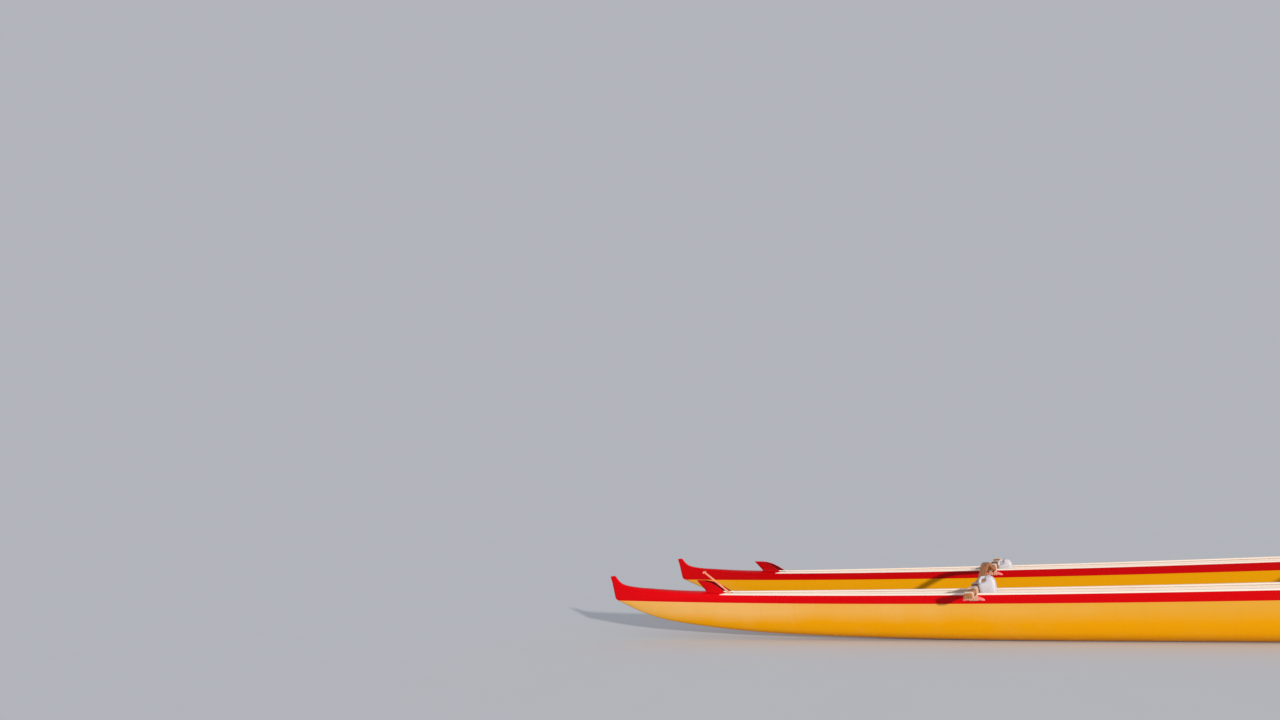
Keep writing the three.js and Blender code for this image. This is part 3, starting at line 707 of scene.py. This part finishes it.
GUARD_REACH = 0.97  # how far out the guard's wings go, as a share of the way to the rails
GUARD_HEIGHT, GUARD_LOW = 0.136, 0.006  # above its lowest, at the wings' ends
GUARD_POWER = 6.5  # how late its top edge drops
GUARD_RAKE, GUARD_LEAN = 0.88, 0.12  # forward and, in its wings, inward, for each metre of height
GUARD_NOSE = 0.036
GUARD_HALF = 0.0055  # half of the wall's thickness
GUARD_FLARE = 0.016
GUARD_INNER = 12  # the first column of faces on its inner side


def splash_guard(hull, y):
    """The V-shaped guard: a thin raked wall with a rolled top edge, flared into the deck, with its
    inner side dark red as painted shade.
    """
    span = sheer_w(BOW_DECK) - 0.006 - RAIL_IN / 2
    nose, half = GUARD_NOSE, GUARD_HALF
    bend = (V_DEPTH - 0.006) / (math.hypot(span, nose) - nose)
    sections = []
    for q in spread(-GUARD_REACH * span, GUARD_REACH * span, 61, 0.8):
        share = abs(q) / span
        reach = math.hypot(q, nose)
        aft = BOW_DECK - V_DEPTH + bend * (reach - nose)
        outward = Vector((-1.0, bend * q / reach)).normalized()
        height = GUARD_HEIGHT * (1 - (share / GUARD_REACH) ** GUARD_POWER) + GUARD_LOW
        foot = fair(DECK_LINE[1], aft) - CROWN * sheer_w(aft) * share ** 2
        flare = min(GUARD_FLARE, height * 0.6)
        wall = height - half - flare
        roll = half * 1.15
        arc = [math.radians(d) for d in range(0, 181, 30)]
        face = [(-0.003, half + flare), (flare * 0.25, half + flare * 0.45), (flare, half)]
        face += [(flare + wall * t, half * (1 - 0.25 * t)) for t in (0.3, 0.65, 0.93)]
        face += [(height - half + roll * math.sin(a), roll * math.cos(a)) for a in arc]
        face += [(flare * 0.6, -half), (-0.008, -half - 0.002)]
        sections.append([
            (to_x(aft + out * outward.x - GUARD_RAKE * up),
             y + q + out * outward.y - GUARD_LEAN * up * math.copysign(share, q), foot + up)
            for up, out in face
        ])
    bm = bmesh.new()
    # The inner side's faces take the painted shade.
    sweep(bm, sections, paint=lambda r, i: 1 if i >= GUARD_INNER else 0)
    finish(bm, f"{hull}_splash_guard_skin", [RED, GUARD_SHADE], sharp=50,
           replaces=[f"{hull}_splash_guard"])


# ---- Boards, bars and beams ----
def seat(hull, y, number, aft):
    """A seat board with eased long edges and a shallow dish, on the hull's two sides."""
    dish, ease = 0.006, 0.008
    top = sheer(aft) - SEAT_DROP
    bm = box((SEAT_LENGTH, 2.0, SEAT_THICK))
    divide(bm, 0, 11)
    divide(bm, 1, 15)
    long_edges = [e for e in along(bm, 1)
                  if all(abs(abs(v.co.x) - SEAT_LENGTH / 2) < 1e-6 for v in e.verts)]
    bevel(bm, long_edges, ease)
    for v in bm.verts:
        u, x = v.co.y, to_x(aft) + v.co.x
        z = top - SEAT_THICK / 2 + v.co.z
        if v.co.z > 0.4 * SEAT_THICK:
            z -= dish * (1 - u * u) * math.cos(math.pi * v.co.x / SEAT_LENGTH) ** 2
        v.co = (x, y + u * (inside_w(to_x(x), z) - FIT), z)
    finish(bm, f"{hull}_seat_{number}_board", [SEAT_WOOD],
           replaces=[f"{hull}_seat_{number}"])


def spreader(hull, y, end, aft):
    """A bar with eased edges between the hull's sides, under a crossbeam."""
    bm = box((BAR_WIDTH, 2.0, BAR_THICK))
    bevel(bm, along(bm, 1), 0.008, 4)
    divide(bm, 1, 19)
    for v in bm.verts:
        z = sheer(aft) - BAR_DROP - BAR_THICK / 2 + v.co.z
        v.co = (to_x(aft) + v.co.x, y + v.co.y * (inside_w(aft, z) - FIT), z)
    finish(bm, f"{hull}_spreader_{end}_bar", [SEAT_WOOD],
           replaces=[f"{hull}_spreader_{end}"])


def beam_tip(aft):
    """How far out a crossbeam reaches."""
    return SPACING / 2 + sheer_w(aft) + BEAM_PAST


def crossbeam(end, aft):
    """A beam of four boards side by side, straight over each hull and arched between them."""
    tip, edge_ease, end_ease = beam_tip(aft), 0.012, 0.005
    bm = box((BEAM_WIDTH, 2 * tip, BEAM_THICK))
    bevel(bm, along(bm, 1), edge_ease, 4)
    rims = [e for e in bm.edges if all(abs(abs(v.co.y) - tip) < 1e-6 for v in e.verts)]
    bevel(bm, rims, end_ease, 3)
    divide(bm, 1, 140)
    own = bm.loops.layers.uv.verify()
    for face in bm.faces:
        for loop in face.loops:
            loop[own].uv = (loop.vert.co.y, loop.vert.co.x)
    middle = beam_bottom(aft) + BEAM_THICK / 2
    for v in bm.verts:
        v.co += Vector((to_x(aft), 0, middle + arch(v.co.y)))
    finish(bm, f"crossbeam_{end}_wood", [BEAM_WOOD],
           replaces=[f"crossbeam_{end}"])


def cleat(hull, y, where, side, end, aft):
    """The bar that a lashing goes under, with a drooping pointed horn at each end."""
    bm = box((2.0, 1.0, 1.0))
    bevel(bm, [e for e in along(bm, 0) if all(v.co.y > 0 for v in e.verts)], 0.28, 4)
    divide(bm, 0, 31)
    for v in bm.verts:
        s, out, up = v.co.x, v.co.y + 0.5, v.co.z
        reach = abs(s)
        tall = CLEAT_TALL * (1 - reach ** 3) ** 0.6 + HORN_TALL
        deep = CLEAT_DEPTH * (1 - 0.72 * reach ** 2.5)
        droop = HORN_DROOP * max(0.0, (reach - HORN_START) / (1 - HORN_START)) ** 1.3
        z = sheer(aft) - CLEAT_DROP - 0.002 - droop + tall * up
        here = aft - s * CLEAT_HALF
        t = (sheer(aft) - z) / (sheer(aft) - band(aft))
        skin = sheer_w(here) + (band_w(here) - sheer_w(here)) * t - 0.002
        v.co = (to_x(aft) + s * CLEAT_HALF, y + side * (skin + out * deep), z)
    finish(bm, f"{hull}_cleat_{end}_{where}", [HORN])


# ---- Cord ----
CORD_RADIUS = 0.0052
CORD_TURNS = 8  # in each lashing, and round each beam's end


def follow(points, radius, step=0.006):
    """An open path through 3-D points with its corners rounded, in even steps."""
    points = [Vector(p) for p in points]
    bent = [points[0]]
    for a, b, c in zip(points, points[1:], points[2:]):
        cut = min(radius, (a - b).length * 0.45, (c - b).length * 0.45)
        p, q = b + (a - b).normalized() * cut, b + (c - b).normalized() * cut
        bent += [p * (1 - t) ** 2 + b * 2 * t * (1 - t) + q * t * t
                 for t in (0, 0.2, 0.4, 0.6, 0.8, 1)]
    bent.append(points[-1])
    fine = [bent[0]]
    for a, b in zip(bent, bent[1:]):
        n = max(1, round((b - a).length / step))
        fine += [a.lerp(b, k / n) for k in range(1, n + 1)]
    return fine


def tube(bm, path, radius, sides=8, start=0.0):
    """A round tube swept along a path, with its own u along it in metres and v once round it."""
    runs, rings = [start], []
    normal = Vector((0.31, 0.17, 0.93))  # any way but the one that a path starts in
    for k, p in enumerate(path):
        ahead, back = path[min(k + 1, len(path) - 1)], path[max(k - 1, 0)]
        way = (ahead - back).normalized()
        normal = (normal - way * normal.dot(way)).normalized()
        other = way.cross(normal)
        if k:
            runs.append(runs[-1] + (p - path[k - 1]).length)
        turns = [2 * math.pi * s / sides for s in range(sides)]
        rings.append([p + radius * (math.cos(a) * normal + math.sin(a) * other) for a in turns])
    sweep(bm, rings, own=lambda r, i: (runs[r], i / sides))


def lashing(hull, y, where, side, end, aft):
    """Turns of cord from the cleat outside, up both sides of the beam, along its top and round the
    spreader inside. The middle turns go furthest before they turn down, so none cross."""
    x0, edge = to_x(aft), sheer_w(aft)
    r, shift = CORD_RADIUS, 0.0012
    out_from, out_step = 0.0158, 0.0106  # past the side's edge, and more for each lane
    back_from, back_step = 0.036, 0.0150  # the same, inside
    fan_foot, fan_head = 0.043, 0.0345  # half of the turns' spread at the cleat and on the beam
    low, high = beam_bottom(aft), beam_bottom(aft) + BEAM_THICK
    top = high + r - 0.0004
    bar = sheer(aft) - CLEAT_DROP
    under = sheer(aft) - BAR_DROP - BAR_THICK - r
    over = sheer(aft) - BAR_DROP + r
    bm = bmesh.new()
    half = (CORD_TURNS - 1) / 2
    for k in range(CORD_TURNS):
        s = (k - half) / half  # -1 and 1 for the outermost turns
        pair = shift if k % 2 else -shift  # the turns lie in pairs
        lane = half - abs(k - half)
        out, back = edge + out_from + out_step * lane, edge - back_from - r - back_step * lane
        foot = x0 + fan_foot * s - pair
        head = x0 + fan_head * s - pair
        down = x0 + math.copysign(BEAM_WIDTH / 2 + r, s)
        hook = x0 + math.copysign(BAR_WIDTH / 2 + r + 0.001, s)
        clear = edge + CLEAT_DEPTH + r
        points = [
            (foot, edge + 0.013, bar - 0.024),
            (foot, clear, bar - 0.022),
            (foot * 0.8 + down * 0.2, clear + 0.002, bar + 0.018),
            (down, out, low - 0.004),
            (down, out, high - 0.012),
            (x0 + (down - x0) * 0.86, out, top),
            (head, out - 0.016, top),
            (head, back + 0.016, top),
            (x0 + (down - x0) * 0.86, back, top),
            (down, back, high - 0.012),
            (down, back, low),
            (hook, back, over - 0.01),
            (hook, back, under),
            (x0, back, under - 0.0005),
        ]
        path = follow([(a, y + side * b, c) for a, b, c in points], 0.010)
        tube(bm, path, r, start=0.37 * k)
    finish(bm, f"{hull}_lashing_{end}_{where}_cord", [CORD], sharp=80,
           replaces=[f"{hull}_lashing_{end}_{where}"])


def whipping(end, aft, side):
    """Close turns of cord round a beam, at its end."""
    r, tip = CORD_RADIUS, beam_tip(aft)
    a, b = BEAM_WIDTH / 2 + r - HAIR, BEAM_THICK / 2 + r - HAIR
    around = eased([(a, b), (-a, b), (-a, -b), (a, -b)], 0.014, 5)
    count = len(around)
    path = []
    for k in range(CORD_TURNS * count):
        w, h = around[k % count]
        y = tip - r - 0.001 - (2 * r + HAIR) * k / count
        path.append(Vector((to_x(aft) + w, side * y, beam_bottom(aft) + BEAM_THICK / 2 + h)))
    bm = bmesh.new()
    tube(bm, path, r)
    word = "port" if side > 0 else "starboard"
    finish(bm, f"crossbeam_{end}_whipping_{word}", [CORD], sharp=80)


# ---- Paddle and bailers ----
PADDLE_LENGTH, BLADE_LENGTH = 1.12, 0.44
GRIP_LENGTH, GRIP_RADIUS = 0.105, 0.0148
PADDLE_TOP = Vector((to_x(1.476), SPACING / 2 + 0.130, 0.840 + 0.00824))
PADDLE_FOOT = Vector((to_x(2.282), SPACING / 2 - 0.002, 0.120 + 0.00824))
BLADE_ACROSS = Vector((0.204, -0.978, -0.049))  # roughly the way of the blade's width


def paddle():
    """One piece: an oval shaft that runs into a ridged blade, with a T grip across its top. It is
    made along X from its top, then stood in the hull."""
    length, start = PADDLE_LENGTH, PADDLE_LENGTH - BLADE_LENGTH
    widths = ((0, 0.0130), (0.5, 0.0124), (start, 0.0128), (start + 0.06, 0.020),
              (start + 0.15, 0.048), (start + 0.26, 0.073), (start + 0.33, 0.075),
              (start + 0.39, 0.068), (start + 0.42, 0.052), (start + 0.435, 0.030),
              (length, 0.004))
    depths = ((0, 0.0118), (0.5, 0.0124), (start - 0.05, 0.0126), (start + 0.08, 0.0115),
              (start + 0.2, 0.0072), (start + 0.36, 0.0050), (length, 0.0025))
    places = spread(0.004, start, 24) + spread(start + 0.012, length, 44, 1.3)
    sides = 28
    sections = []
    for s in places:
        w, d = fair(widths, s), fair(depths, s)
        flat = clamp((s - start) / 0.15)
        ring = []
        for k in range(sides):
            a = 2 * math.pi * k / sides
            c, q = math.cos(a), math.sin(a)
            ridge = 1.0 - 0.62 * flat * clamp(abs(c) * w / max(w, 0.02)) ** 0.7 * (1 - 0.3 * flat)
            ring.append((s, w * c, d * q * (ridge if flat else 1.0)))
        sections.append(ring)
    bm = bmesh.new()
    sweep(bm, sections, own=lambda r, i: (places[r], sections[r][i % sides][1]))
    grip = bmesh.new()
    bmesh.ops.create_cone(grip, cap_ends=True, segments=24, radius1=GRIP_RADIUS,
                          radius2=GRIP_RADIUS, depth=GRIP_LENGTH)
    bevel(grip, [e for e in grip.edges if abs(e.verts[0].co.z - e.verts[1].co.z) < 1e-6], 0.007, 4)
    divide(grip, 2, 9)
    for v in grip.verts:
        waist = 1 - 0.12 * math.cos(math.pi * v.co.z / GRIP_LENGTH) ** 2
        v.co = (v.co.x * waist * 0.9, v.co.z, v.co.y * waist)
    own = grip.loops.layers.uv.verify()
    for face in grip.faces:
        for loop in face.loops:
            loop[own].uv = (loop.vert.co.x, loop.vert.co.y * 0.1)
    spare = bpy.data.meshes.new("grip")
    grip.to_mesh(spare)
    grip.free()
    bm.from_mesh(spare)
    bpy.data.meshes.remove(spare)
    down = (PADDLE_FOOT - PADDLE_TOP).normalized()
    up = down.cross(BLADE_ACROSS).normalized()
    turned = Matrix((down, up.cross(down), up)).transposed().to_4x4()
    placed = Matrix.Translation(PADDLE_TOP - down * 0.00023) @ turned
    bmesh.ops.transform(bm, matrix=placed, verts=bm.verts)
    finish(bm, "paddle_wood", [PADDLE_WOOD], sharp=40,
           replaces=["paddle"])


JUG_HEIGHT = 0.262  # before its bottom is cut away
BAILER_HEIGHT = {1: 0.262, -1: 0.207}  # in the port hull (1) and the starboard one (-1)
BAILER_STATION = 4.831
JUG_WALL = 0.0024
HANDLE_RADIUS, HANDLE_WIDER = 0.0162, 1.25
CAP_RADIUS, CAP_HEIGHT = 0.0204, 0.0112


def bailer(hull, y, tall):
    """A jug with its bottom cut away: broad shoulders, a low cap and a fat handle round a hole."""
    base = sheer(SEATS[1]) - SEAT_DROP + HAIR
    x0 = to_x(BAILER_STATION)
    cut = JUG_HEIGHT - tall
    # Height, aft and fore ends, half width, and how square the section's corners are.
    levels = ((0, -.092, .092, .068, .42), (.03, -.0915, .0915, .0675, .42),
              (.06, -.092, .092, .068, .42), (.09, -.0912, .0912, .0672, .42),
              (.14, -.092, .092, .068, .42), (.160, -.092, .0905, .0676, .42),
              (.170, -.0918, .0860, .0672, .44), (.177, -.0915, .0740, .0668, .46),
              (.183, -.091, .0540, .0664, .48), (.189, -.090, .0350, .066, .5),
              (.197, -.088, .0200, .065, .52), (.207, -.0855, .0120, .063, .55),
              (.217, -.0815, .0090, .060, .58), (.228, -.076, .0080, .056, .6),
              (.237, -.0695, .0075, .051, .62), (.244, -.063, .0070, .045, .66),
              (.249, -.056, .0050, .038, .72), (.2515, -.049, -.0010, .029, .85),
              (.2525, -.0445, -.0055, .0195, 1), (.258, -.0440, -.0060, .0190, 1))
    sections = []
    for z, first, last, w, power in levels:
        if 0 < z <= cut:
            continue
        around = [2 * math.pi * k / 56 for k in range(56)]
        middle, half = (first + last) / 2, (last - first) / 2
        sections.append([
            (x0 + middle + math.copysign(abs(math.cos(a)) ** power, math.cos(a)) * half,
             y + math.copysign(abs(math.sin(a)) ** power, math.sin(a)) * w,
             base + max(0.0, z - cut)) for a in around
        ])
    bm = bmesh.new()
    sweep(bm, sections, caps=False)
    low = [v for v in bm.verts if v.co.z < base + 0.14 - cut - 1e-4]
    upright = [e for e in along(bm, 2) if all(v in low for v in e.verts)]
    bmesh.ops.subdivide_edges(bm, edges=upright, cuts=2, use_grid_fill=True)
    mouth = Vector((-0.75, 0, -0.55)).normalized()
    bmesh.ops.bisect_plane(bm, geom=bm.verts[:] + bm.edges[:] + bm.faces[:], dist=1e-6,
                           plane_co=(x0 - 0.045, y, base), plane_no=mouth, clear_outer=True)
    bmesh.ops.recalc_face_normals(bm, faces=bm.faces)
    centre = Vector((x0, y, base + 0.1))
    if sum(f.normal.dot(f.calc_center_median() - centre) for f in bm.faces) < 0:
        bmesh.ops.reverse_faces(bm, faces=bm.faces)
    bmesh.ops.solidify(bm, geom=bm.faces[:], thickness=JUG_WALL)
    finish(bm, f"{hull}_bailer_jug", [JUG], sharp=60,
           replaces=[f"{hull}_bailer"])

    bm = bmesh.new()
    bend = ((-0.004, 0.2350), (0.048, 0.2372), (0.0722, 0.208), (0.0755, 0.158))
    path = follow([(x0 + a, y, base + b - cut) for a, b in bend], 0.03, 0.004)
    tube(bm, path, HANDLE_RADIUS, 20)
    bmesh.ops.scale(bm, vec=(1, HANDLE_WIDER, 1), space=Matrix.Translation((0, -y, 0)),
                    verts=bm.verts)
    finish(bm, f"{hull}_bailer_handle", [JUG], sharp=60)

    bm = bmesh.new()
    bmesh.ops.create_cone(bm, cap_ends=True, segments=72, radius1=CAP_RADIUS, radius2=CAP_RADIUS,
                          depth=CAP_HEIGHT)
    bevel(bm, [e for e in bm.edges if all(v.co.z > 0 for v in e.verts)
               and abs(e.verts[0].co.z - e.verts[1].co.z) < 1e-6], 0.002, 3)
    ribs = [f for f in bm.faces if abs(f.normal.z) < 0.1]
    ribs.sort(key=lambda f: math.atan2(f.calc_center_median().y, f.calc_center_median().x))
    bmesh.ops.inset_individual(bm, faces=ribs[::2], thickness=0.0003, depth=0.0006)
    bmesh.ops.translate(bm, vec=(x0 - 0.025, y, base + tall - CAP_HEIGHT / 2 - 0.0001),
                        verts=bm.verts)
    finish(bm, f"{hull}_bailer_cap", [CAP])


# ---- Camera, floor and light ----
# The camera was solved from the hulls' parallel lines in the photograph, and the sun's way from the
# shadow of the front crossbeam's arch.
FOCAL, FRAME_WIDTH, SENSOR = 806.16, 1280, 36.0  # pixels, pixels and millimetres
EYE = (0.681, 10.922, 1.917)
EYE_RIGHT, EYE_UP = Vector((-0.8714, -0.4825, -0.0887)), Vector((-0.1559, 0.1010, 0.9826))


def camera():
    """The photograph's own viewpoint. The slope of the ground there went into its roll."""
    data = bpy.data.cameras.new("camera")
    data.sensor_width = SENSOR
    data.lens = FOCAL / FRAME_WIDTH * SENSOR
    data.clip_end = 500.0
    ob = bpy.data.objects.new("camera", data)
    axes = Matrix((EYE_RIGHT, EYE_UP, EYE_RIGHT.cross(EYE_UP))).transposed().to_4x4()
    ob.matrix_world = Matrix.Translation(EYE) @ axes
    bpy.context.scene.collection.objects.link(ob)
    bpy.context.scene.camera = ob


SUN, SKY = 3.16, (0.445, 0.46, 0.495)
SUN_TINT = (1.0, 0.94, 0.86)
SUN_WAY = Vector((0.95, -1.0, -0.31)).normalized()  # the way its light goes
FLOOR_REACH = 200.0


def studio():
    """A plain pale floor that meets the soft sky unseen, and a low warm key light."""
    bm = bmesh.new()
    bmesh.ops.create_grid(bm, x_segments=2, y_segments=2, size=FLOOR_REACH)
    me = bpy.data.meshes.new("floor")
    bm.to_mesh(me)
    bm.free()
    # A floor this pale, in this light, is as bright as the sky behind it.
    lit = [SUN * tint * -SUN_WAY.z / math.pi + sky for tint, sky in zip(SUN_TINT, SKY)]
    pale = [sky / light for sky, light in zip(SKY, lit)]
    n = Finish("floor")
    tone = n.noise(n.coords(), 0.9, 4.0)
    n.link(n.mix(tone, scaled(pale, 0.985), scaled(pale, 1.01)), "Base Color")
    n.put(Roughness=0.9, Specular_IOR_Level=0.0)
    me.materials.append(n.mat)
    floor = bpy.data.objects.new("floor", me)
    bpy.context.scene.collection.objects.link(floor)

    key = bpy.data.lights.new("key", "SUN")
    key.energy, key.angle, key.color = SUN, math.radians(2), SUN_TINT
    ob = bpy.data.objects.new("key", key)
    ob.rotation_euler = SUN_WAY.to_track_quat("-Z", "Y").to_euler()
    bpy.context.scene.collection.objects.link(ob)

    world = bpy.data.worlds.new("soft_sky")
    world.use_nodes = True
    back = world.node_tree.nodes["Background"]
    back.inputs["Color"].default_value = SKY + (1,)
    back.inputs["Strength"].default_value = 1.0
    bpy.context.scene.world = world
    bpy.context.scene.view_settings.view_transform = "Standard"


camera()
for hull, hull_side in (("port_hull", 1), ("starboard_hull", -1)):
    centre = hull_side * SPACING / 2
    shell(hull, centre)
    end_piece(hull, centre, 1)
    end_piece(hull, centre, -1)
    splash_guard(hull, centre)
    bailer(hull, centre, BAILER_HEIGHT[hull_side])
    for number, aft in enumerate(SEATS, 1):
        seat(hull, centre, number, aft)
    for end, aft in BEAMS.items():
        spreader(hull, centre, end, aft)
    for where, side in (("outboard", hull_side), ("inboard", -hull_side)):
        strake(hull, centre, where, side)
        rail(hull, centre, where, side)
        for end, aft in BEAMS.items():
            cleat(hull, centre, where, side, end, aft)
            lashing(hull, centre, where, side, end, aft)
for end, aft in BEAMS.items():
    crossbeam(end, aft)
    whipping(end, aft, 1)
    whipping(end, aft, -1)
paddle()
studio()
